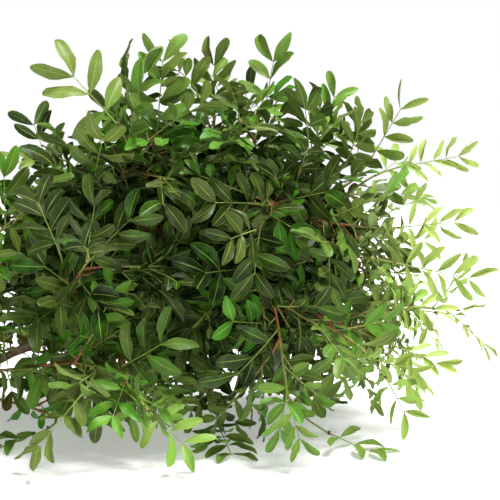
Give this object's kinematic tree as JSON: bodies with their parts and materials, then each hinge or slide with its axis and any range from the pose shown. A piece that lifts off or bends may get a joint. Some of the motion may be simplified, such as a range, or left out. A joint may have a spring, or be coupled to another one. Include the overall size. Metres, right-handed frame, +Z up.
{
  "type": "pistacia branch",
  "caption": "Cut leafy branch of pistacia lying on its side, bushy, with forked woody stem, leafy shoots and paired leathery leaflets.",
  "frame": {"origin": "middle of the bounding box in X and Y, on the surface that the branch lies on", "axes": "+X along the branch, from the cut end of the stem to the tips; +Z up"},
  "size_m": [0.628, 0.3446, 0.3477],
  "materials": {
    "bark": "matte",
    "leaf": "satin"
  },
  "bodies": {
    "root": {"woody_stem": "bark", "leafy_shoot_01": "leaf", "leafy_shoot_02": "leaf", "leafy_shoot_03": "leaf", "leafy_shoot_04": "leaf", "leafy_shoot_05": "leaf", "leafy_shoot_06": "leaf", "leafy_shoot_07": "leaf", "leafy_shoot_08": "leaf", "leafy_shoot_09": "leaf", "leafy_shoot_10": "leaf", "leafy_shoot_11": "leaf", "leafy_shoot_12": "leaf", "leafy_shoot_13": "leaf", "leafy_shoot_14": "leaf", "leafy_shoot_15": "leaf", "leafy_shoot_16": "leaf", "leafy_shoot_17": "leaf", "leafy_shoot_18": "leaf", "leafy_shoot_19": "leaf", "leafy_shoot_20": "leaf", "leafy_shoot_21": "leaf", "leafy_shoot_22": "leaf", "leafy_shoot_23": "leaf", "leafy_shoot_24": "leaf", "leafy_shoot_25": "leaf", "leafy_shoot_26": "leaf", "leafy_shoot_27": "leaf", "leafy_shoot_28": "leaf", "leafy_shoot_29": "leaf", "leafy_shoot_30": "leaf", "leafy_shoot_31": "leaf", "leafy_shoot_32": "leaf", "leafy_shoot_33": "leaf", "leafy_shoot_34": "leaf", "leafy_shoot_35": "leaf"}
  },
  "joints": []
}
